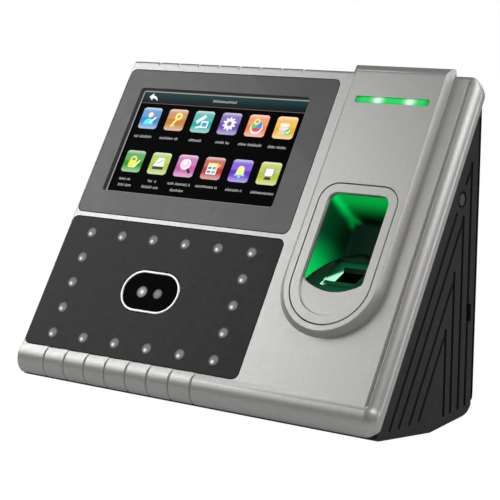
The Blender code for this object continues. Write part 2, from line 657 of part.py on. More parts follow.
def side_pieces():
    """Power button, the switch behind it and the service port."""
    inner = SIDE_X - WALL
    cap = cylinder_x("power_button", BUTTON_Y, BUTTON_Z, BUTTON_RADIUS, (inner - 1.3, SIDE_X - 0.1), 20)
    join(cap, cylinder_x("flange", BUTTON_Y, BUTTON_Z, 4.0, (inner - 1.5, inner - GAP), 20))
    origin_at(cap, (inner, BUTTON_Y, BUTTON_Z))
    finish(cap, (0.04, 0.04, 0.043), 0.4)
    switch = block("power_switch", (83.5, 91.1), (BUTTON_Y - 4.3, BOARD_FRONT_Y - GAP), (95.0, 104.4))
    finish(switch, *CASE_BLACK)
    y, z = USB_CENTRE
    port = block("usb_port", (80.0, inner - GAP), (y - 2.9, INNER_REAR_Y - GAP), (z - 4.9, z + 4.9))
    cut(port, prism("usb_socket", rectangle(*centred((y, z), (3.4, 7.2))), (inner - 9.0, inner + 2), SIDE))
    finish(port, *METAL)


def rear_pieces():
    """Tamper switch and plunger, and the wall plate with its tabs."""
    near = BOARD_REAR_Y + GAP
    switch = block("tamper_switch", (TAMPER_X - 3.2, TAMPER_X + 3.2), (near, near + 3.2),
                   (TAMPER_Z - 3.2, TAMPER_Z + 3.2))
    finish(switch, *CASE_BLACK)
    plunger = cylinder_y("tamper_plunger", TAMPER_X, TAMPER_Z, 1.6, (near + 5.3, PLATE_BACK_Y + TAMPER_PROUD), 14)
    join(plunger, cylinder_y("collar", TAMPER_X, TAMPER_Z, 3.0, (INNER_REAR_Y - 1.5, INNER_REAR_Y - GAP), 14))
    origin_at(plunger, (TAMPER_X, RECESS_Y, TAMPER_Z))
    finish(plunger, (0.55, 0.55, 0.52), 0.45)

    half = RECESS_HALF_X - 0.6
    outline = rounded((-half, half), (RECESS_Z[0] + 0.6, RECESS_Z[1] - 0.6), 2.0, 3)
    front = PLATE_BACK_Y - PLATE_THICK
    plate = prism("wall_plate", outline, (-PLATE_BACK_Y, -front), BACK)
    window = rounded((-BAY_HALF_X - 2, BAY_HALF_X + 2), (BAY_Z[0] - 2, BAY_Z[1] + 2), 3.0, 3)
    cut(plate, prism("plate_window", window, (-PLATE_BACK_Y - 3, -front + 3), BACK))
    for x in (-60.0, 60.0):
        for z in (54.0, 98.0):
            cut(plate, cylinder_y("wall_screw_hole", x, z, 2.3, (front - 3, PLATE_BACK_Y + 3)))
    cut(plate, cylinder_y("tamper_pass", TAMPER_X, TAMPER_Z, 4.5, (front - 3, PLATE_BACK_Y + 3), 18))
    for x, z in tab_places():
        join(plate, block("tab", (x - 5.0, x + 5.0), (INNER_REAR_Y - 1.0, front + 1.0), (z - 1.2, z + 1.2)))
    origin_at(plate, (0.0, PLATE_BACK_Y, 60.0))
    finish(plate, (0.50, 0.50, 0.49), 0.35, 1.0)


def loose_parts():
    """Speaker, backup battery and the case screws."""
    finish(prism("speaker", circle((-46.0, 18.0), 13.8, 24), (2.6, 8.8)), *CASE_BLACK)
    finish(block("battery_pack", (5.0, 65.0), (5.0, 27.0), (2.6, 20.4)), (0.10, 0.16, 0.40), 0.5)
    for number, (x, z, meet, _) in enumerate(screw_posts(), start=1):
        head = cylinder_y(f"shell_screw_{number}", x, z, 2.7, (meet + 2.5, meet + 4.6), 12)
        join(head, cylinder_y("shank", x, z, 1.3, (meet - 11.5, meet + 3.0), 10))
        finish(head, *METAL)


def main():
    for old in list(bpy.data.objects):
        bpy.data.objects.remove(old)
    front_shell()
    rear_shell()
    screen_pieces()
    infrared_pieces()
    infrared_lamps()
    status_light()
    reader_pieces()
    main_board()
    rear_connectors()
    side_pieces()
    rear_pieces()
    loose_parts()


main()
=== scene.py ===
"""Looks of the face and fingerprint terminal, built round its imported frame."""

import math

import bmesh
import bpy
from mathutils import Matrix, Vector


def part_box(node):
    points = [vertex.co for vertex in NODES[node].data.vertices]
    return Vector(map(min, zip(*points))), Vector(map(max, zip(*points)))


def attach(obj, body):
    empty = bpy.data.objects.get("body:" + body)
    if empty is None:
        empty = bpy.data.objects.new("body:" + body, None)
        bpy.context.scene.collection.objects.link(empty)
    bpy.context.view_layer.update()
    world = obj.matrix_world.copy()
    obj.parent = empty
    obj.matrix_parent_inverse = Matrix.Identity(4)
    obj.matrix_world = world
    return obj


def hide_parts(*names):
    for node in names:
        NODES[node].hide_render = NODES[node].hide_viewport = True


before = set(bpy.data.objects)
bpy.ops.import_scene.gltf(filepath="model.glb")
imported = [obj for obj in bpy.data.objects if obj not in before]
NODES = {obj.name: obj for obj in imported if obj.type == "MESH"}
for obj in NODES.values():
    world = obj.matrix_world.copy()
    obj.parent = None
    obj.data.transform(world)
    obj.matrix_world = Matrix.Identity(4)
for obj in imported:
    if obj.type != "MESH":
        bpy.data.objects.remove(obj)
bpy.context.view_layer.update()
MM = 0.001

# The sloping face: x right, v up along it, n straight out of it, in millimetres
FACE_TILT = math.radians(34.1)
FACE_FOOT_Y = -59.1
SIN, COS = math.sin(FACE_TILT), math.cos(FACE_TILT)
FACE = Matrix(((1, 0, 0, 0), (0, SIN, -COS, FACE_FOOT_Y), (0, COS, SIN, 0), (0, 0, 0, 1)))

DISPLAY_CENTRE = (-36.2, 139.8)
DISPLAY_SIZE = (96.9, 56.4)
WELL_X = (43.5, 73.5)
WELL_V = (73.2, 119.6)
SLOPE_FOOT_V = 77.0
READER_MIDDLE = 58.5
CAMERA_CENTRE = (-35.3, 62.2)
RING_SIZE = (32.6, 20.8)
LENS_CENTRES = ((-39.8, 61.8), (-30.8, 61.8))
LED_FIRST = (-81.2, 35.1)
LED_PITCH = (18.5, 13.2)
LED_COLUMNS, LED_ROWS = 6, 5
LAMP_RADIUS = 2.8
LIGHT_BAR = (58.5, 166.8)


def clamp(value, low=0.0, high=1.0):
    return max(low, min(high, value))


def smooth(edge0, edge1, value):
    t = clamp((value - edge0) / (edge1 - edge0))
    return t * t * (3 - 2 * t)


def mix(a, b, t):
    return tuple(p + (q - p) * t for p, q in zip(a, b))


# ---------------------------------------------------------------- outlines

def arc(centre, radius, start, end, steps):
    angles = [math.radians(start + (end - start) * i / steps) for i in range(steps + 1)]
    return [(centre[0] + radius * math.cos(a), centre[1] + radius * math.sin(a)) for a in angles]


def circle(centre, radius, steps=24):
    return arc(centre, radius, 0, 360, steps)[:-1]


def rectangle(a0, a1, b0, b1):
    return [(a0, b0), (a1, b0), (a1, b1), (a0, b1)]


def rounded(a0, a1, b0, b1, radius, steps=5):
    return (arc((a1 - radius, b0 + radius), radius, -90, 0, steps)
            + arc((a1 - radius, b1 - radius), radius, 0, 90, steps)
            + arc((a0 + radius, b1 - radius), radius, 90, 180, steps)
            + arc((a0 + radius, b0 + radius), radius, 180, 270, steps))


def stadium(centre, size, steps=14):
    reach, radius = (size[0] - size[1]) / 2, size[1] / 2
    return (arc((centre[0] + reach, centre[1]), radius, -90, 90, steps)
            + arc((centre[0] - reach, centre[1]), radius, 90, 270, steps))


# ---------------------------------------------------------------- materials

class Finish:
    """A procedural material under construction."""

    def __init__(self, name, roughness, metallic=0.0, coat=0.0, specular=0.5):
        self.material = bpy.data.materials.new(name)
        self.material.use_nodes = True
        self.tree = self.material.node_tree
        self.shader = self.tree.nodes["Principled BSDF"]
        self.place = self.tree.nodes.new("ShaderNodeTexCoord").outputs["Object"]
        self.shader.inputs["Roughness"].default_value = roughness
        self.shader.inputs["Metallic"].default_value = metallic
        self.shader.inputs["Coat Weight"].default_value = coat
        self.shader.inputs["Specular IOR Level"].default_value = specular

    def link(self, output, node_input):
        self.tree.links.new(output, node_input)

    def noise(self, per_mm, detail=2.0, stretch=(1, 1, 1)):
        source = self.place
        if stretch != (1, 1, 1):
            mapping = self.tree.nodes.new("ShaderNodeMapping")
            mapping.inputs["Scale"].default_value = stretch
            self.link(self.place, mapping.inputs["Vector"])
            source = mapping.outputs["Vector"]
        node = self.tree.nodes.new("ShaderNodeTexNoise")
        node.inputs["Scale"].default_value = per_mm * 1000
        node.inputs["Detail"].default_value = detail
        self.link(source, node.inputs["Vector"])
        return node.outputs["Fac"]

    def ramp(self, value, *stops):
        node = self.tree.nodes.new("ShaderNodeValToRGB")
        elements = node.color_ramp.elements
        while len(elements) < len(stops):
            elements.new(0.5)
        for element, (position, colour) in zip(elements, stops):
            element.position = position
            element.color = (*colour, 1.0)
        self.link(value, node.inputs["Fac"])
        return node.outputs["Color"]

    def colour(self, value, dark, light, low=0.3, high=0.7):
        self.link(self.ramp(value, (low, dark), (high, light)), self.shader.inputs["Base Color"])

    def rough(self, value, low, high):
        node = self.tree.nodes.new("ShaderNodeMapRange")
        node.inputs["From Min"].default_value = 0.3
        node.inputs["From Max"].default_value = 0.7
        node.inputs["To Min"].default_value = low
        node.inputs["To Max"].default_value = high
        self.link(value, node.inputs["Value"])
        self.link(node.outputs["Result"], self.shader.inputs["Roughness"])

    def bump(self, value, strength, distance=0.05):
        node = self.tree.nodes.new("ShaderNodeBump")
        node.inputs["Strength"].default_value = strength
        node.inputs["Distance"].default_value = distance * MM
        self.link(value, node.inputs["Height"])
        self.link(node.outputs["Normal"], self.shader.inputs["Normal"])

    def glow_from(self, attribute, strength):
        node = self.tree.nodes.new("ShaderNodeAttribute")
        node.attribute_name = attribute
        self.link(node.outputs["Color"], self.shader.inputs["Emission Color"])
        self.shader.inputs["Emission Strength"].default_value = strength
        return node.outputs["Color"]


def grey(value, warm=0.0):
    return (value * (1 + warm), value, value * (1 - warm))


def moulded(name, dark, light, roughness, grain=2.2, strength=0.25, coat=0.0, specular=0.5):
    """Moulded plastic: fine sparked texture, slow colour and gloss variation."""
    finish = Finish(name, roughness, 0.0, coat, specular)
    finish.colour(finish.noise(0.05, 3), dark, light)
    finish.rough(finish.noise(0.3, 3), roughness - 0.04, roughness + 0.05)
    finish.bump(finish.noise(grain, 2), strength)
    return finish.material


def metal(name, dark, light, roughness, stretch=(1, 1, 1), grain=1.6, strength=0.15):
    finish = Finish(name, roughness, 1.0)
    finish.colour(finish.noise(0.12, 3, stretch), dark, light)
    finish.rough(finish.noise(0.5, 3, stretch), roughness - 0.06, roughness + 0.08)
    finish.bump(finish.noise(grain, 3, stretch), strength, 0.02)
    return finish.material


def silver_paint():
    """Satin silver paint: metal flakes under a thin lacquer."""
    finish = Finish("silver_paint", 0.40, 0.72, 0.1)
    finish.shader.inputs["Coat Roughness"].default_value = 0.35
    finish.colour(finish.noise(3.2, 4), (0.52, 0.515, 0.50), (0.64, 0.635, 0.615), 0.38, 0.62)
    finish.rough(finish.noise(0.4, 3), 0.38, 0.44)
    finish.bump(finish.noise(2.6, 3), 0.16, 0.03)
    return finish.material


def painted(name, roughness, strength, coat=0.0, specular=0.5):
    """Colours come from the mesh and glow: a lit screen or diode, elsewhere painted light, shade and
    highlights.
    """
    finish = Finish(name, roughness, 0.0, coat, specular)
    mesh_glow = finish.glow_from("glow", strength)
    dim = finish.tree.nodes.new("ShaderNodeMix")
    dim.data_type = "RGBA"
    dim.blend_type = "MULTIPLY"
    dim.inputs["Factor"].default_value = 1.0
    first, second = [socket for socket in dim.inputs if socket.type == "RGBA"]
    second.default_value = (0.25, 0.25, 0.25, 1.0)
    result = next(socket for socket in dim.outputs if socket.type == "RGBA")
    finish.link(mesh_glow, first)
    finish.link(result, finish.shader.inputs["Base Color"])
    finish.bump(finish.noise(1.0, 2), 0.03, 0.02)
    return finish.material


SILVER = silver_paint()
CASE_BLACK = moulded("case_black", grey(0.011), grey(0.016), 0.52, 1.6, 0.5, 0.0, 0.3)
PANEL_GREY = moulded("panel_grey", (0.085, 0.085, 0.088), (0.105, 0.105, 0.108), 0.36, 3.0, 0.12, 0.1)
WINDOW_DARK = moulded("window_dark", (0.015, 0.0148, 0.0145), (0.019, 0.0185, 0.018), 0.26, 0.6, 0.0,
                      specular=0.14)
GLASS_DARK = moulded("glass_dark", grey(0.001), grey(0.0015), 0.12, 0.6, 0.0, 0.0, 0.008)
GLOSS_BLACK = moulded("gloss_black", grey(0.008), grey(0.014), 0.22, 1.2, 0.05, 0.3)
TRIM_BRIGHT = metal("trim_bright", grey(0.52), grey(0.64), 0.34)
STEEL = metal("zinc_steel", grey(0.42), grey(0.58), 0.36, (1, 1, 6), 1.0, 0.2)
TINNED = metal("tinned_metal", grey(0.50), grey(0.66), 0.30)
BOARD = moulded("circuit_board", (0.008, 0.085, 0.035), (0.014, 0.130, 0.055), 0.34, 0.9, 0.3, 0.3)
TERMINAL = moulded("terminal_green", (0.016, 0.20, 0.065), (0.024, 0.27, 0.09), 0.42)
SLEEVE = moulded("battery_sleeve", (0.05, 0.10, 0.30), (0.07, 0.14, 0.38), 0.32, 0.5, 0.2, 0.2)
NYLON = moulded("plunger_nylon", grey(0.46), grey(0.56), 0.4)
BUTTON_BLACK = moulded("button_black", grey(0.035), grey(0.05), 0.34, 2.0, 0.2)
# These materials glow with the mesh's colours. The screen and the status diodes are really lit. The display
# trim, the lenses, the finger well and the prism glow with painted light and shade.
SCREEN_GLOW_AND_PAINTED_TRIM_LIGHT = painted("screen_glow_and_painted_trim_light", 0.25, 1.0, 0.0, 0.05)
DIODE_GLOW_AND_PAINTED_LENS_LIGHT = painted("diode_glow_and_painted_lens_light", 0.2, 1.0, 0.1, 0.2)
WELL_BLACK_AND_PAINTED_LIGHT = painted("well_black_and_painted_light", 0.48, 1.0, 0.0, 0.12)


# ---------------------------------------------------------------- meshes

def soften(mesh, angle=32.0):
    """Smooth shading that keeps real edges."""
    shape = bmesh.new()
    shape.from_mesh(mesh)
    limit = math.radians(angle)
    for face in shape.faces:
        face.smooth = True
    for edge in shape.edges:
        edge.smooth = len(edge.link_faces) == 2 and edge.calc_face_angle(0.0) < limit
    shape.to_mesh(mesh)
    shape.free()


def flatten(mesh):
    """Joins the triangles of one plane, so that they weigh as one face in the normals."""
    shape = bmesh.new()
    shape.from_mesh(mesh)
    bmesh.ops.dissolve_limit(shape, angle_limit=math.radians(0.15), use_dissolve_boundaries=False,
                             verts=shape.verts, edges=shape.edges)
    shape.to_mesh(mesh)
    shape.free()


def evaluated(piece):
    bpy.context.view_layer.update()
    seen = piece.evaluated_get(bpy.context.evaluated_depsgraph_get())
    mesh = bpy.data.meshes.new_from_object(seen)
    piece.modifiers.clear()
    old, piece.data = piece.data, mesh
    bpy.data.meshes.remove(old)


def add_piece(name, mesh, *materials):
    piece = bpy.data.objects.new(name, mesh)
    bpy.context.scene.collection.objects.link(piece)
    mesh.name = name
    mesh.materials.clear()
    for material in materials:
        mesh.materials.append(material)
    return piece


def settle(piece, body="terminal", nodes=()):
    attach(piece, body)
    if nodes:
        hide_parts(*nodes)
    return piece


def refine(node, material, body="terminal", bevel=0.25, segments=2, angle=38.0):
    """The CAD node's own shape with its small edge rounds and smooth curves."""
    shape = bmesh.new()
    shape.from_mesh(NODES[node].data)
    bmesh.ops.remove_doubles(shape, verts=shape.verts, dist=0.000002)
    bmesh.ops.recalc_face_normals(shape, faces=shape.faces)
    mesh = bpy.data.meshes.new(node)
    shape.to_mesh(mesh)
    shape.free()
    piece = add_piece("fine_" + node, mesh, material)
    if bevel:
        step = piece.modifiers.new("edges", "BEVEL")
        step.width = bevel * MM
        step.segments = segments
        step.limit_method = "ANGLE"
        step.angle_limit = math.radians(angle)
        step.use_clamp_overlap = False
        evaluated(piece)
        low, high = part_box(node)
        for vertex in piece.data.vertices:
            vertex.co = [clamp(vertex.co[k], low[k], high[k]) for k in range(3)]
    flatten(piece.data)
    soften(piece.data)
    step = piece.modifiers.new("normals", "WEIGHTED_NORMAL")
    step.mode = "FACE_AREA_WITH_ANGLE"
    step.keep_sharp = True
    evaluated(piece)
    return settle(piece, body, [node])


class Build:
    """Collects closed solids with a colour for each point."""

    def __init__(self, place=FACE):
        self.place, self.points, self.faces, self.colours, self.slots = place, [], [], [], []

    def loft(self, rings, colour, slot=0, cap_low=True, cap_high=True):
        start, count = len(self.points), len(rings[0])
        for ring in rings:
            for point in ring:
                self.points.append(self.place @ Vector(point) * MM)
                self.colours.append(colour(*point) if callable(colour) else colour)
        faces = []
        for level in range(len(rings) - 1):
            low, high = start + level * count, start + (level + 1) * count
            faces += [(low + i, low + (i + 1) % count, high + (i + 1) % count, high + i)
                      for i in range(count)]
        if cap_low:
            faces.append(tuple(range(start, start + count))[::-1])
        if cap_high:
            faces.append(tuple(range(start + (len(rings) - 1) * count, start + len(rings) * count)))
        self.faces += faces
        self.slots += [slot] * len(faces)

    def plate(self, outline, low, high, colour=(0, 0, 0), slot=0):
        self.loft([[(a, b, level) for a, b in outline] for level in (low, high)], colour, slot)

    def tile(self, a0, a1, b0, b1, radius, low, high, colour, slot=0, rows=10):
        """Rounded rectangle cut into rows, so that a colour can change up it."""
        levels = []
        for k in range(rows + 1):
            b = b0 + (b1 - b0) * k / rows
            near = min(b - b0, b1 - b)
            short = radius - math.sqrt(max(0.0, radius ** 2 - (radius - near) ** 2)) if near < radius else 0.0
            levels.append((b, a0 + short, a1 - short))
        outline = [(right, b) for b, _, right in levels] + [(left, b) for b, left, _ in levels[::-1]]
        start, count = len(self.points), len(outline)
        for n in (low, high):
            for a, b in outline:
                self.points.append(self.place @ Vector((a, b, n)) * MM)
                self.colours.append(colour(a, b, n) if callable(colour) else colour)
        faces = [(start + i, start + (i + 1) % count, start + count + (i + 1) % count, start + count + i)
                 for i in range(count)]
        for k in range(rows):
            row = (k, k + 1, count - 2 - k, count - 1 - k)
            faces.append(tuple(start + count + i for i in row))
            faces.append(tuple(start + i for i in row[::-1]))
        self.faces += faces
        self.slots += [slot] * len(faces)

    def piece(self, name, *materials, angle=32.0, bevel=0.0):
        mesh = bpy.data.meshes.new(name)
        mesh.from_pydata(self.points, [], self.faces)
        layer = mesh.color_attributes.new("glow", "FLOAT_COLOR", "POINT")
        for index, colour in enumerate(self.colours):
            layer.data[index].color = (*colour, 1.0)
        for polygon, slot in zip(mesh.polygons, self.slots):
            polygon.material_index = slot
        shape = bmesh.new()
        shape.from_mesh(mesh)
        bmesh.ops.recalc_face_normals(shape, faces=shape.faces)
        shape.to_mesh(mesh)
        shape.free()
        indices = [polygon.material_index for polygon in mesh.polygons]
        piece = add_piece(name, mesh, *materials)
        for polygon, index in zip(piece.data.polygons, indices):
            polygon.material_index = index
        if bevel:
            step = piece.modifiers.new("edges", "BEVEL")
            step.width = bevel * MM
            step.segments = 2
            step.limit_method = "ANGLE"
            step.angle_limit = math.radians(38)
            evaluated(piece)
        soften(piece.data, angle)
        return piece


# ---------------------------------------------------------------- screen

SCREEN_N = -2.27


def screen(a, b):
    return DISPLAY_CENTRE[0] + a, DISPLAY_CENTRE[1] + b


def shift(outline, a=0.0, b=0.0):
    return [screen(p + a, q + b) for p, q in outline]


class Picture(Build):
    """Thin coloured shapes on the display, in millimetres from its centre."""

    def shape(self, outline, colour, level=1):
        self.plate(shift(outline), SCREEN_N, SCREEN_N + 0.025 * level, colour)

    def words(self, a0, a1, b, height, colour, seed):
        """A line of small marks that stands for a caption without spelling anything."""
        a, state, pen = a0, seed, 0.17
        while a < a1 - 0.5:
            state = (state * 1103515245 + 12345) % 2147483648
            tall = height * (1.35 if (state >> 16) % 4 == 0 else 1.0)
            kind = (state >> 20) % 8
            if kind == 0 and a > a0 + 2:
                a += 0.7
                continue
            self.shape(rectangle(a, a + pen, b, b + tall), colour)
            if kind < 6:
                level = b + (0.0, height - pen, (height - pen) / 2)[kind % 3]
                self.shape(rectangle(a + pen, a + 0.62, level, level + pen), colour)
                self.shape(rectangle(a + 0.62, a + 0.62 + pen, b, b + height), colour)
                a += 0.62
            a += pen + 0.30


def lift(colour, amount):
    return mix(colour, (1, 1, 1), amount)


def glossy_tile(picture, a, b, colour):
    """Tile with a light rim at the top and bottom and a bright upper half."""
    low, high = b - 5.9, b + 5.9

    def shade(x, v, _n):
        up = (v - DISPLAY_CENTRE[1] - low) / (high - low)
        base = lift(colour, 0.30 * smooth(0.35, 0.0, up)) if up < 0.5 else lift(colour, 0.10)
        return lift(base, 0.42 * smooth(0.82, 1.0, up))

    x0, v0 = screen(a - 5.6, low)
    x1, v1 = screen(a + 5.6, high)
    picture.tile(x0, x1, v0, v1, 1.3, SCREEN_N, SCREEN_N + 0.025, shade, rows=16)


def sector(a, b, radius, start, end, steps=8):
    return [(a, b)] + arc((a, b), radius, start, end, steps)


def ring_shape(picture, a, b, outer, inner, colour, level=2):
    steps = 16
    for k in range(steps):
        t0, t1 = 360 * k / steps, 360 * (k + 1) / steps
        picture.shape(arc((a, b), outer, t0, t1, 1) + arc((a, b), inner, t1, t0, 1), colour, level)


def bar_shape(picture, start, end, width, colour, level=2):
    (a0, b0), (a1, b1) = start, end
    length = math.hypot(a1 - a0, b1 - b0)
    p, q = (b1 - b0) / length * width / 2, -(a1 - a0) / length * width / 2
    picture.shape([(a0 + p, b0 + q), (a1 + p, b1 + q), (a1 - p, b1 - q), (a0 - p, b0 - q)], colour, level)


def glyph_person(picture, a, b):
    picture.shape(circle((a - 0.3, b + 1.9), 1.5, 14), (0.95, 0.75, 0.5), 3)
    shoulders = [(a - 3.0, b - 3.4)] + arc((a - 0.4, b - 3.0), 2.8, 170, 10, 8) + [(a + 2.4, b - 3.4)]
    picture.shape(shoulders, (0.1, 0.85, 0.9), 2)
    bar_shape(picture, (a + 0.6, b - 2.4), (a + 3.4, b + 0.6), 0.9, (0.95, 0.9, 0.6), 4)


def glyph_key(picture, a, b):
    ring_shape(picture, a + 1.0, b + 2.0, 2.1, 0.9, (1.0, 0.80, 0.22))
    bar_shape(picture, (a + 0.3, b + 0.6), (a - 2.0, b - 3.8), 1.1, (1.0, 0.78, 0.2))
    bar_shape(picture, (a - 1.4, b - 2.6), (a - 0.1, b - 3.2), 0.8, (1.0, 0.72, 0.15))


def glyph_link(picture, a, b):
    bar_shape(picture, (a - 3.4, b - 0.6), (a + 1.0, b + 3.4), 1.7, (0.9, 0.95, 0.95))
    picture.shape(rectangle(a - 0.4, a + 3.6, b - 3.2, b + 0.4), (0.92, 0.96, 1.0), 3)
    picture.shape(rectangle(a + 0.2, a + 3.0, b - 2.5, b - 0.3), (0.10, 0.30, 0.75), 4)
    bar_shape(picture, (a - 3.0, b - 3.4), (a + 0.2, b - 2.4), 0.9, (0.85, 0.95, 0.95))


def glyph_gear(picture, a, b):
    outline = []
    for k in range(20):
        turn = math.radians(18 * k)
        radius = 3.7 if k % 2 else 2.7
        outline += [(a + radius * math.cos(turn - 0.10), b + radius * math.sin(turn - 0.10)),
                    (a + radius * math.cos(turn + 0.10), b + radius * math.sin(turn + 0.10))]
    picture.shape(outline, (0.88, 0.88, 0.92), 2)
    picture.shape(circle((a, b), 1.3, 14), (0.20, 0.13, 0.45), 3)


def glyph_wheel(picture, a, b):
    picture.shape(circle((a, b - 1.2), 3.4, 20), (0.92, 0.88, 0.86), 2)
    for start, colour in ((90, (0.05, 0.65, 0.15)), (210, (0.85, 0.05, 0.08)), (330, (0.05, 0.25, 0.85))):
        picture.shape(sector(a, b - 0.4, 2.9, start, start + 120), colour, 3)
    ring_shape(picture, a - 0.6, b + 2.2, 1.7, 1.0, (0.95, 0.85, 0.2), 4)


def glyph_store(picture, a, b):
    for k in range(3):
        low = b - 3.6 + 2.0 * k
        picture.shape(stadium((a - 0.6, low + 1.0), (5.2, 1.7), 6), grey(0.62 + 0.12 * k), 2 + k)
    picture.shape(circle((a + 2.2, b - 2.2), 1.7, 14), (0.16, 0.60, 0.12), 5)
    bar_shape(picture, (a + 1.3, b - 2.2), (a + 2.1, b - 3.0), 0.5, (0.95, 1.0, 0.95), 6)
    bar_shape(picture, (a + 1.9, b - 3.0), (a + 3.2, b - 1.3), 0.5, (0.95, 1.0, 0.95), 6)


def glyph_lock(picture, a, b):
    picture.shape(rounded(a - 2.6, a + 2.0, b - 3.4, b + 0.6, 0.8, 3), (0.80, 0.78, 0.10), 2)
    ring_shape(picture, a - 0.3, b + 1.0, 2.0, 1.1, (0.85, 0.80, 0.15))
    bar_shape(picture, (a + 0.6, b - 1.8), (a + 1.6, b - 3.0), 0.8, (0.98, 0.95, 0.7), 4)
    bar_shape(picture, (a + 1.4, b - 3.0), (a + 3.7, b + 0.8), 0.8, (0.98, 0.95, 0.7), 4)


def glyph_drive(picture, a, b):
    lid = [(a - 3.4, b - 1.6), (a + 3.0, b - 1.6), (a + 2.2, b + 3.0), (a - 1.4, b + 3.0)]
    picture.shape(lid, grey(0.88), 2)
    picture.shape(rectangle(a - 3.4, a + 3.0, b - 3.2, b - 1.6), grey(0.05), 2)
    bar_shape(picture, (a - 1.6, b - 0.4), (a + 1.6, b + 2.2), 0.6, grey(0.45), 3)


def glyph_search(picture, a, b):
    ring_shape(picture, a - 0.4, b + 0.9, 3.0, 2.2, (0.96, 0.90, 0.92))
    picture.shape(circle((a - 0.4, b + 0.9), 2.2, 16), (0.93, 0.62, 0.72), 2)
    picture.shape(circle((a - 0.9, b + 1.4), 1.0, 12), (0.98, 0.85, 0.88), 3)
    bar_shape(picture, (a + 1.4, b - 1.4), (a + 3.3, b - 3.6), 1.4, grey(0.03), 4)


def glyph_table(picture, a, b):
    picture.shape(rectangle(a - 3.2, a + 2.4, b - 3.2, b + 2.2), (0.95, 0.95, 0.90), 2)
    picture.shape(rectangle(a - 3.2, a + 2.4, b + 1.4, b + 2.8), (0.90, 0.80, 0.20), 3)
    for k in range(4):
        x, y = a - 2.7 + 2.6 * (k % 2), b - 2.6 + 2.1 * (k // 2)
        colour = (0.10, 0.50, 0.35) if k == 1 else (0.06, 0.25, 0.60)
        picture.shape(rectangle(x, x + 1.9, y, y + 1.3), colour, 3)
    bar_shape(picture, (a + 1.2, b - 0.6), (a + 3.7, b + 2.2), 0.9, (0.95, 0.55, 0.10), 4)


def glyph_bell(picture, a, b):
    dome = [(a - 2.4, b - 2.4), (a + 2.4, b - 2.4)] + arc((a, b + 0.8), 1.9, 0, 180, 8)
    picture.shape(dome, (0.85, 0.85, 0.25), 2)
    picture.shape(circle((a, b - 2.9), 0.9, 10), (0.20, 0.60, 0.75), 3)
    picture.shape(rectangle(a - 3.0, a + 3.0, b - 2.6, b - 1.9), (0.25, 0.65, 0.60), 3)


def glyph_screen(picture, a, b):
    picture.shape(rounded(a - 3.3, a + 3.3, b - 1.6, b + 2.8, 0.6, 3), (0.35, 0.42, 0.30), 2)
    picture.shape(rectangle(a - 2.0, a + 2.0, b - 1.2, b + 2.4), (0.92, 0.95, 0.92), 3)
    foot = [(a - 2.2, b - 3.3), (a + 2.2, b - 3.3), (a + 1.2, b - 1.8), (a - 1.2, b - 1.8)]
    picture.shape(foot, grey(0.05), 2)


MENU = ((glyph_person, (0.04, 0.24, 0.55)), (glyph_key, (0.52, 0.20, 0.035)),
        (glyph_link, (0.015, 0.38, 0.34)), (glyph_gear, (0.14, 0.075, 0.40)),
        (glyph_wheel, (0.78, 0.22, 0.06)), (glyph_store, (0.80, 0.42, 0.02)),
        (glyph_lock, (0.015, 0.30, 0.012)), (glyph_drive, (0.38, 0.52, 0.05)),
        (glyph_search, (0.52, 0.10, 0.36)), (glyph_table, (0.46, 0.035, 0.03)),
        (glyph_bell, (0.13, 0.03, 0.58)), (glyph_screen, (0.44, 0.50, 0.015)))
CAPTIONS = (((-44.5, -33.7, 2.3),), ((-28.9, -17.6, 2.3),), ((-11.3, -4.3, 2.3),), ((4.3, 12.3, 2.3),),
            ((17.4, 30.4, 2.3),), ((34.2, 44.8, 2.1),),
            ((-43.5, -35.5, -21.4), (-42.9, -34.8, -24.7)), ((-26.0, -21.0, -21.3), (-28.5, -18.0, -24.6)),
            ((-14.1, -1.1, -21.5), (-11.3, -3.2, -24.9)), ((2.2, 14.5, -21.5),),
            ((19.5, 28.9, -21.8),), ((33.6, 45.9, -21.8),))


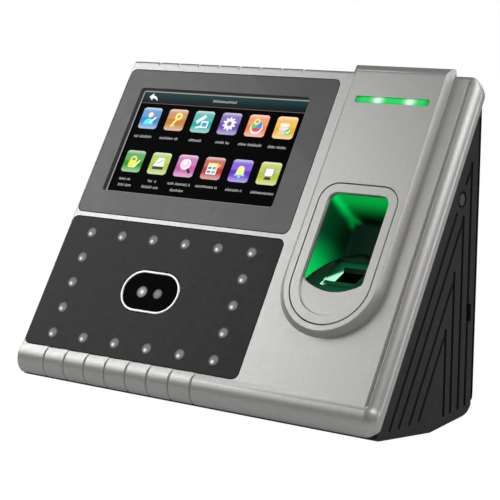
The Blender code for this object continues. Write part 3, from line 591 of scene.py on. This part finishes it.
def make_screen():
    half_a, half_b = DISPLAY_SIZE[0] / 2, DISPLAY_SIZE[1] / 2
    touch = refine("touch_panel", GLASS_DARK, bevel=0.1)
    touch.name = "touch_glass"
    header = Picture()

    def bar(x, v, _n):
        up = (v - DISPLAY_CENTRE[1] - 21.8) / 6.4
        return mix((0.002, 0.010, 0.011), (0.012, 0.045, 0.047), smooth(0.1, 1.0, up))

    x0, v0 = screen(-half_a + 0.2, 21.9)
    x1, v1 = screen(half_a - 0.2, half_b - 0.1)
    header.tile(x0, x1, v0, v1, 0.1, SCREEN_N, SCREEN_N + 0.02, bar, rows=8)
    header.shape(rectangle(-half_a + 0.3, half_a - 0.3, 21.45, 21.75), (0.16, 0.09, 0.10))
    header.words(-5.6, 8.1, 24.2, 1.15, (0.55, 0.57, 0.57), 7)
    header.shape([(-44.4, 25.1), (-42.2, 27.2), (-42.2, 26.0), (-40.6, 25.6), (-39.2, 24.4), (-38.9, 23.0),
                  (-40.2, 24.2), (-42.2, 24.4), (-42.2, 23.2)], (0.95, 0.97, 0.97), 2)
    settle(header.piece("screen_header", SCREEN_GLOW_AND_PAINTED_TRIM_LIGHT))
    for index, ((glyph, colour), lines) in enumerate(zip(MENU, CAPTIONS)):
        a = -38.9 + 15.76 * (index % 6)
        b = 13.2 if index < 6 else -11.0
        tile = Picture()
        glossy_tile(tile, a, b, colour)
        glyph(tile, a, b)
        for number, (start, end, level) in enumerate(lines):
            tile.words(start, end, level, 1.1, grey(0.50), 31 * index + 7 * number + 5)
        settle(tile.piece(f"menu_item_{index + 1:02d}", SCREEN_GLOW_AND_PAINTED_TRIM_LIGHT))
    # Painted light: the grey trim round the display glows, though no lamp lights it.
    trim = Build()
    outer = rounded(*screen_box(half_a + 0.15, half_b + 0.15), 0.9, 4)
    inner = rounded(*screen_box(half_a - 0.40, half_b - 0.40), 0.6, 4)
    rings = [[(x, v, n) for x, v in outline] for outline, n in
             ((outer, -2.26), (outer, -2.02), (inner, -2.12), (inner, -2.26))]
    trim.loft(rings + [rings[0]], grey(0.30), cap_low=False, cap_high=False)
    settle(trim.piece("display_trim", SCREEN_GLOW_AND_PAINTED_TRIM_LIGHT))
    refine("screen_bezel", PANEL_GREY, bevel=0.18)


def screen_box(half_a, half_b):
    return (DISPLAY_CENTRE[0] - half_a, DISPLAY_CENTRE[0] + half_a,
            DISPLAY_CENTRE[1] - half_b, DISPLAY_CENTRE[1] + half_b)


# ---------------------------------------------------------------- infrared window

# Painted shade and highlight on a lens: lighter middle, darker rim, and a painted highlight at the given
# offset.
def lens_painted_highlight(centre, radius, rim, middle, spot, offset):
    def shade(x, v, _n):
        away = math.hypot(x - centre[0], v - centre[1]) / radius
        near = math.hypot(x - centre[0] - offset[0], v - centre[1] - offset[1]) / radius
        base = mix(middle, rim, smooth(0.55, 1.0, away))
        return mix(base, spot, smooth(0.42, 0.12, near))
    return shade


def lens_disc(name, centre, radius, level, rise, shade):
    build = Build()
    rings = []
    for share in (1.0, 0.94, 0.84, 0.72, 0.6, 0.48, 0.36, 0.24, 0.12):
        n = level + rise * (1 - share ** 2) ** 0.5
        rings.append([(x, v, n) for x, v in circle(centre, radius * share, 28)])
    rings.insert(0, [(x, v, level - 0.3) for x, v in circle(centre, radius, 28)])
    build.loft(rings, shade)
    return build.piece(name, DIODE_GLOW_AND_PAINTED_LENS_LIGHT, angle=60)


def make_infrared():
    refine("ir_window", WINDOW_DARK, bevel=0.2)
    refine("camera_cover", GLASS_DARK, bevel=0.1)
    ring = Build()
    width, height = RING_SIZE
    profile = ((0.0, -2.0), (0.0, 0.0), (0.1, 0.14), (0.3, 0.2),
               (1.0, 0.2), (1.2, 0.14), (1.3, 0.0), (1.3, -2.0))
    rings = [[(x, v, n) for x, v in stadium(CAMERA_CENTRE, (width - 2 * inset, height - 2 * inset), 24)]
             for inset, n in profile]
    ring.loft(rings + [rings[0]], grey(0.5), cap_low=False, cap_high=False)
    settle(ring.piece("camera_trim", TRIM_BRIGHT, angle=70), nodes=["camera_ring"])
    number = 0
    for row in range(LED_ROWS):
        for column in range(LED_COLUMNS):
            if row not in (0, LED_ROWS - 1) and column not in (0, LED_COLUMNS - 1):
                continue
            number += 1
            centre = (LED_FIRST[0] + column * LED_PITCH[0], LED_FIRST[1] + row * LED_PITCH[1])
            # Painted shade and a painted highlight: each lamp lens glows, lighter in the middle, darker at
            # the rim, with a bright highlight to the lower left.
            shade = lens_painted_highlight(centre, LAMP_RADIUS, grey(0.022, 0.05), grey(0.13, 0.04), grey(0.72, 0.02),
                                (-0.6, -0.7))
            lamp = lens_disc(f"lamp_lens_{number:02d}", centre, LAMP_RADIUS, -0.02, 0.14, shade)
            settle(lamp, nodes=[f"ir_led_{number:02d}"])
    # Painted reflections: the left lens glows with a bright highlight in its middle and the right one with a
    # dim highlight, both darker at the rim.
    lenses = (("left", 3.0, grey(0.02), grey(0.22), grey(0.85)),
              ("right", 2.6, grey(0.015), grey(0.12), grey(0.20)))
    for centre, (side, radius, rim, middle, spot) in zip(LENS_CENTRES, lenses):
        shade = lens_painted_highlight(centre, radius, rim, middle, spot, (0.0, 0.0))
        lens = lens_disc(f"lens_{side}", centre, radius, -0.22, 0.15, shade)
        settle(lens, nodes=[f"camera_lens_{side}"])


# ---------------------------------------------------------------- status light

def make_status_light():
    """Frosted bar over two lit diodes, brightest above each of them."""
    build = Build()
    centre_x, centre_v = LIGHT_BAR
    half_length, half_width, columns = 18.3, 1.4, 60
    diodes, spread = (51.3, 67.4), 2.3

    def shade(x, v, _n):
        heat = sum(math.exp(-((x - spot) / spread) ** 2) for spot in diodes)
        edge = smooth(half_length, 15.0, abs(x - centre_x))
        across = 1 - 0.35 * (abs(v - centre_v) / half_width) ** 2
        base = mix((0.005, 0.36, 0.05), (0.02, 0.62, 0.13), edge * across)
        return mix(base, (0.78, 1.0, 0.85), clamp(heat) * across)

    stations = [centre_x - half_length + 2 * half_length * k / columns for k in range(columns + 1)]
    rings = []
    for k, x in enumerate(stations):
        trim = 0.25 if k in (0, columns) else 0.0
        side = half_width - trim
        profile = [(-side, 0.8), (-side, 4.2 - trim), (-1.1, 4.45 - trim), (0.0, 4.5 - trim),
                   (1.1, 4.45 - trim), (side, 4.2 - trim), (side, 0.8)]
        rings.append([(x, centre_v + b, n) for b, n in profile])
    build.loft(rings, shade)
    settle(build.piece("status_light", DIODE_GLOW_AND_PAINTED_LENS_LIGHT, angle=45), nodes=["status_light_bar"])


# ---------------------------------------------------------------- fingerprint reader

# The reader's slope falls into the face from its foot, the lower edge.
SLOPE_FOOT_N = 2.0
SLOPE_RUN, SLOPE_DROP = 22.0, 16.0
SLOPE_COSINE = 0.809
WELL_RADIUS = 4.2
FLOOR_N = -14.0


def slope_n(v):
    return SLOPE_FOOT_N - (v - SLOPE_FOOT_V) * SLOPE_DROP / SLOPE_RUN


def inside_depth(x, v):
    """Distance inwards from the well's rounded mouth."""
    half_x, half_v = (WELL_X[1] - WELL_X[0]) / 2, (WELL_V[1] - WELL_V[0]) / 2
    dx = abs(x - READER_MIDDLE) - (half_x - WELL_RADIUS)
    dv = abs(v - (WELL_V[0] + WELL_V[1]) / 2) - (half_v - WELL_RADIUS)
    outside = math.hypot(max(dx, 0.0), max(dv, 0.0))
    return WELL_RADIUS - outside - min(max(dx, dv), 0.0)


def well_surface(x, v):
    """Height of the finger well, and its glow: green light and shade painted on its walls, floor and finger
    rest.
    """
    inward = inside_depth(x, v)
    wall = 1.9 - 16.0 * smooth(-0.8, 7.6, inward) ** 0.9
    s = (v - SLOPE_FOOT_V) / SLOPE_COSINE
    across = (x - READER_MIDDLE) / 15.2
    arch = math.sqrt(across ** 2 + (max(s, 0.0) / 27.5) ** 2)
    low = max(wall, FLOOR_N)
    up = clamp((v - 77.0) / 42.0)
    top = smooth(6.5, 0.5, WELL_V[1] - v)
    # Painted bright band of green light running down the wall from the top left corner.
    painted_light_band = math.exp(-((x - WELL_X[0] - (WELL_V[1] - v)) / 2.4) ** 2) * smooth(9.0, 6.0, inward)
    deep = smooth(-13.0, 0.5, low)
    # Painted green light. On the left wall it is brightest low down and near the mouth. It fades upwards,
    # deeper down and away from the left wall. The top wall gets its own painted light.
    painted_light_left = mix((0.0, 0.58, 0.10), (0.0, 0.035, 0.010), smooth(0.05, 0.62, up))
    painted_light_top = mix((0.0, 0.015, 0.004), (0.0, 0.34, 0.045), deep)
    glow = tuple(a * smooth(0.9, 0.2, abs(x - WELL_X[0]) / 13.0) * (0.25 + 0.75 * deep) for a in painted_light_left)
    if WELL_V[1] - v < x - WELL_X[0] and v > 100.0:
        glow = mix(glow, painted_light_top, top if inward > 0 else 1.0)
    glow = mix(glow, (0.0, 0.62, 0.10), 0.9 * painted_light_band * (0.35 + 0.65 * deep))
    # Painted pool of green light on the upper left of the well.
    spot = math.exp(-((x - 51.2) ** 2 + (v - 112.0) ** 2) / 3.0)
    glow = mix(glow, (0.0, 0.42, 0.07), spot)
    # Painted shade: the glow fades to near black towards the floor.
    floor = smooth(-11.5, FLOOR_N, low)
    glow = mix(glow, (0.002, 0.011, 0.006), floor)
    height = low
    if s > -4.0 and arch < 1.0:
        lip = math.exp(-((arch - 0.93) / 0.05) ** 2)
        bowl = smooth(0.9, 0.35, arch)
        platform = slope_n(v) + 1.2 * lip - 2.6 * bowl
        if abs(x - READER_MIDDLE) < 8.6 and 80.8 < v < 93.8:
            platform = slope_n(v) - 9.0
            low = platform
        if platform > low or s < 2.0:
            height = max(platform, low) if s > 0 else platform
            rim = smooth(0.84, 0.90, arch)
            # Painted dim green light on the finger rest, fading outwards to near black at its lip.
            inner = mix((0.006, 0.052, 0.022), (0.003, 0.020, 0.009), smooth(0.2, 0.85, arch))
            glow = mix(inner, (0.0, 0.004, 0.002), rim)
    return height, glow


def make_reader():
    build = Build()
    columns, rows = 84, 128
    x0, x1, v0, v1 = WELL_X[0] - 2.0, WELL_X[1] + 2.0, WELL_V[0] - 2.0, WELL_V[1] + 2.0
    for j in range(rows + 1):
        for i in range(columns + 1):
            x, v = x0 + (x1 - x0) * i / columns, v0 + (v1 - v0) * j / rows
            height, glow = well_surface(x, v)
            build.points.append(FACE @ Vector((x, v, min(height, 1.9))) * MM)
            build.colours.append(glow)
    width = columns + 1
    for j in range(rows):
        for i in range(columns):
            a = j * width + i
            build.faces.append((a, a + 1, a + width + 1, a + width))
    top_count = len(build.points)
    for x, v in rectangle(x0, x1, v0, v1):
        build.points.append(FACE @ Vector((x, v, -16.4)) * MM)
        build.colours.append((0.0, 0.0, 0.0))
    south = list(range(width))
    east = [j * width + columns for j in range(rows + 1)]
    north = [rows * width + columns - i for i in range(width)]
    west = [(rows - j) * width for j in range(rows + 1)]
    base = [top_count + k for k in range(4)]
    for edge, (a, b) in zip((south, east, north, west), ((0, 1), (1, 2), (2, 3), (3, 0))):
        build.faces.append(tuple(edge[::-1]) + (base[a], base[b]))
    build.faces.append(tuple(base[::-1]))
    build.slots = [0] * len(build.faces)
    guide = build.piece("finger_well", WELL_BLACK_AND_PAINTED_LIGHT, angle=55)
    settle(guide, nodes=["finger_guide"])
    refine("sensor_bezel", SILVER, bevel=0.3, segments=3)
    make_prism()


def slope_place():
    """Frame on the slope's foot: x across, s along the slope, m out of it."""
    along = Vector((0, SLOPE_RUN, -SLOPE_DROP)).normalized()
    out = Vector((1, 0, 0)).cross(along)
    columns = (Vector((1, 0, 0)), along, out, Vector((READER_MIDDLE, SLOPE_FOOT_V, SLOPE_FOOT_N)))
    return FACE @ Matrix([[column[i] for column in columns] for i in range(3)] + [[0, 0, 0, 1]])


WINDOW_M = -5.6


def make_prism():
    """Glass block: bevelled sides with painted green light and painted highlights round a black pressing
    window.
    """
    build = Build(slope_place())

    def wall(x, s, m):
        """Painted light on the glass: green, brighter near the window, with a painted highlight on the near
        part of the left side and a painted bright line along the far side's foot.
        """
        rise = (m - WINDOW_M) / 4.0
        glass = mix((0.006, 0.13, 0.045), (0.003, 0.035, 0.014), clamp(rise))
        near = smooth(1.2, -1.2, s - 21.4 + 14.0 * rise) * smooth(-6.0, -6.9, x)
        glass = mix(glass, (0.42, 1.0, 0.66), near)
        return mix(glass, (0.10, 0.95, 0.42), smooth(20.6, 21.2, s) * smooth(0.24, 0.10, rise))

    def inner(share):
        half, near, far = 7.0 + 0.7 * share, 10.0 - 7.4 * share, 21.4 + 0.6 * share
        steps = 14
        points = [(-half + 2 * half * k / steps, near) for k in range(steps)]
        points += [(half, near + (far - near) * k / steps) for k in range(steps)]
        points += [(half - 2 * half * k / steps, far) for k in range(steps)]
        points += [(-half, far - (far - near) * k / steps) for k in range(steps)]
        return [(x, s, WINDOW_M + 4.1 * share) for x, s in points]

    def outer(m):
        return [(x * 1.12, s + (0.8 if s > 12 else -0.8), m) for x, s, _ in inner(1.0)]

    shares = (1.0, 0.85, 0.7, 0.55, 0.4, 0.28, 0.16, 0.08, 0.05, 0.0)
    build.loft([outer(-6.0), outer(-1.5)] + [inner(share) for share in shares], wall)
    build.plate(rectangle(-6.8, 6.8, 10.2, 21.2), -5.62, -5.5, (0.0, 0.004, 0.002), 1)
    glass = build.piece("prism_block", WELL_BLACK_AND_PAINTED_LIGHT, GLASS_DARK, angle=20)
    settle(glass, nodes=["sensor_prism"])


# ---------------------------------------------------------------- case, side and rear

def make_case():
    refine("front_shell", SILVER, bevel=0.16, segments=2)
    refine("rear_shell", CASE_BLACK, bevel=0.2, segments=2)
    refine("power_button", BUTTON_BLACK, "power_button", bevel=0.2)
    refine("usb_port", TINNED, bevel=0.1)
    refine("wall_plate", STEEL, "wall_plate", bevel=0.25)
    refine("ethernet_jack", TINNED, bevel=0.15)
    refine("power_jack", GLOSS_BLACK, bevel=0.2)
    refine("relay_terminals", TERMINAL, bevel=0.15)
    refine("wiegand_terminals", TERMINAL, bevel=0.15)
    refine("tamper_plunger", NYLON, "tamper_plunger", bevel=0.25)


def colour_inside():
    """Pieces inside the case keep their shape and get their own finish."""
    finishes = {
        "lcd_module": TINNED, "ir_led_board": BOARD, "camera_board": BOARD, "status_led_board": BOARD,
        "sensor_board": BOARD, "main_board": BOARD, "processor_shield": TINNED, "power_switch": GLOSS_BLACK,
        "tamper_switch": GLOSS_BLACK, "speaker": CASE_BLACK, "battery_pack": SLEEVE}
    for number in range(1, 5):
        finishes[f"board_screw_{number}"] = TINNED
        finishes[f"shell_screw_{number}"] = TINNED
    for node, material in finishes.items():
        NODES[node].data.materials.clear()
        NODES[node].data.materials.append(material)


# ---------------------------------------------------------------- studio

LEFT_RADIANCE = 2.85
RIGHT_RADIANCE = 4.0
SIDE_RADIANCE = 2.0
BACK_RADIANCE = 2.2
WORLD_RADIANCE = 0.12
FLOOR_GLOW = 0.11
FLOOR_HALF = 60
FLOOR_GAP = 0.0002
# Share of the floor that the camera sees as plain white, and how bright that white is.
WHITE_SHARE = 0.9
WHITE_STRENGTH = 1.09
LENS_MM = 112.70
CAMERA_MM = (393.99, -585.16, 195.94)
CAMERA_ANGLES = (33.71, 10.01, 0.47)


def soft_box(name, azimuth, elevation, distance, target, size, radiance):
    """Square soft box seen from the target at these angles, azimuth from the front to the right."""
    turn, lift_angle = math.radians(azimuth), math.radians(elevation)
    away = Vector((math.sin(turn) * math.cos(lift_angle), -math.cos(turn) * math.cos(lift_angle),
                   math.sin(lift_angle)))
    data = bpy.data.lights.new(name, "AREA")
    data.shape = "RECTANGLE"
    data.size, data.size_y = size
    data.energy = math.pi * size[0] * size[1] * radiance
    light = bpy.data.objects.new(name, data)
    bpy.context.scene.collection.objects.link(light)
    light.location = Vector(target) + away * distance
    light.rotation_euler = away.to_track_quat("Z", "Y").to_euler()


def make_studio():
    scene = bpy.context.scene
    mesh = bpy.data.meshes.new("floor")
    corners = [(a, b, 0) for a, b in rectangle(-FLOOR_HALF, FLOOR_HALF, -FLOOR_HALF, FLOOR_HALF)]
    mesh.from_pydata(corners, [], [(0, 1, 2, 3)])
    floor = Finish("floor", 0.7)
    floor.colour(floor.noise(0.02, 2), grey(0.50), grey(0.54))
    floor.shader.inputs["Emission Color"].default_value = (1, 1, 1, 1)
    floor.shader.inputs["Emission Strength"].default_value = FLOOR_GLOW
    white = floor.tree.nodes.new("ShaderNodeEmission")
    seen = floor.tree.nodes.new("ShaderNodeLightPath")
    share = floor.tree.nodes.new("ShaderNodeMath")
    share.operation = "MULTIPLY"
    share.inputs[1].default_value = WHITE_SHARE
    white.inputs["Strength"].default_value = WHITE_STRENGTH
    blend = floor.tree.nodes.new("ShaderNodeMixShader")
    output = floor.tree.nodes["Material Output"]
    floor.link(seen.outputs["Is Camera Ray"], share.inputs[0])
    floor.link(share.outputs["Value"], blend.inputs["Fac"])
    floor.link(floor.shader.outputs["BSDF"], blend.inputs[1])
    floor.link(white.outputs["Emission"], blend.inputs[2])
    floor.link(blend.outputs["Shader"], output.inputs["Surface"])
    plane = add_piece("floor", mesh, floor.material)
    plane.location.z = -FLOOR_GAP
    world = bpy.data.worlds.new("studio")
    world.use_nodes = True
    world.node_tree.nodes["Background"].inputs["Color"].default_value = (1, 1, 1, 1)
    world.node_tree.nodes["Background"].inputs["Strength"].default_value = WORLD_RADIANCE
    scene.world = world
    middle = (0.0, 0.0, 0.07)
    soft_box("left_box", -66, 36, 1.1, middle, (0.85, 0.6), LEFT_RADIANCE)
    soft_box("right_box", 78, 56, 1.1, middle, (0.6, 0.5), RIGHT_RADIANCE)
    soft_box("side_box", 112, 14, 1.2, middle, (0.7, 0.4), SIDE_RADIANCE)
    soft_box("back_box", 160, 34, 1.3, middle, (0.8, 0.5), BACK_RADIANCE)
    scene.view_settings.view_transform = "Standard"
    camera_data = bpy.data.cameras.new("camera")
    camera_data.sensor_width = 36.0
    camera_data.lens = LENS_MM
    camera = bpy.data.objects.new("camera", camera_data)
    scene.collection.objects.link(camera)
    azimuth, elevation, roll = [math.radians(angle) for angle in CAMERA_ANGLES]
    ahead = Vector((-math.sin(azimuth) * math.cos(elevation), math.cos(azimuth) * math.cos(elevation),
                    -math.sin(elevation)))
    right = Vector((math.cos(azimuth), math.sin(azimuth), 0))
    above = right.cross(ahead)
    across = math.cos(roll) * right + math.sin(roll) * above
    upward = -math.sin(roll) * right + math.cos(roll) * above
    axes = Matrix((across, upward, -ahead)).transposed().to_4x4()
    camera.matrix_world = Matrix.Translation(Vector(CAMERA_MM) * MM) @ axes
    scene.camera = camera


make_case()
make_screen()
make_infrared()
make_status_light()
make_reader()
colour_inside()
make_studio()
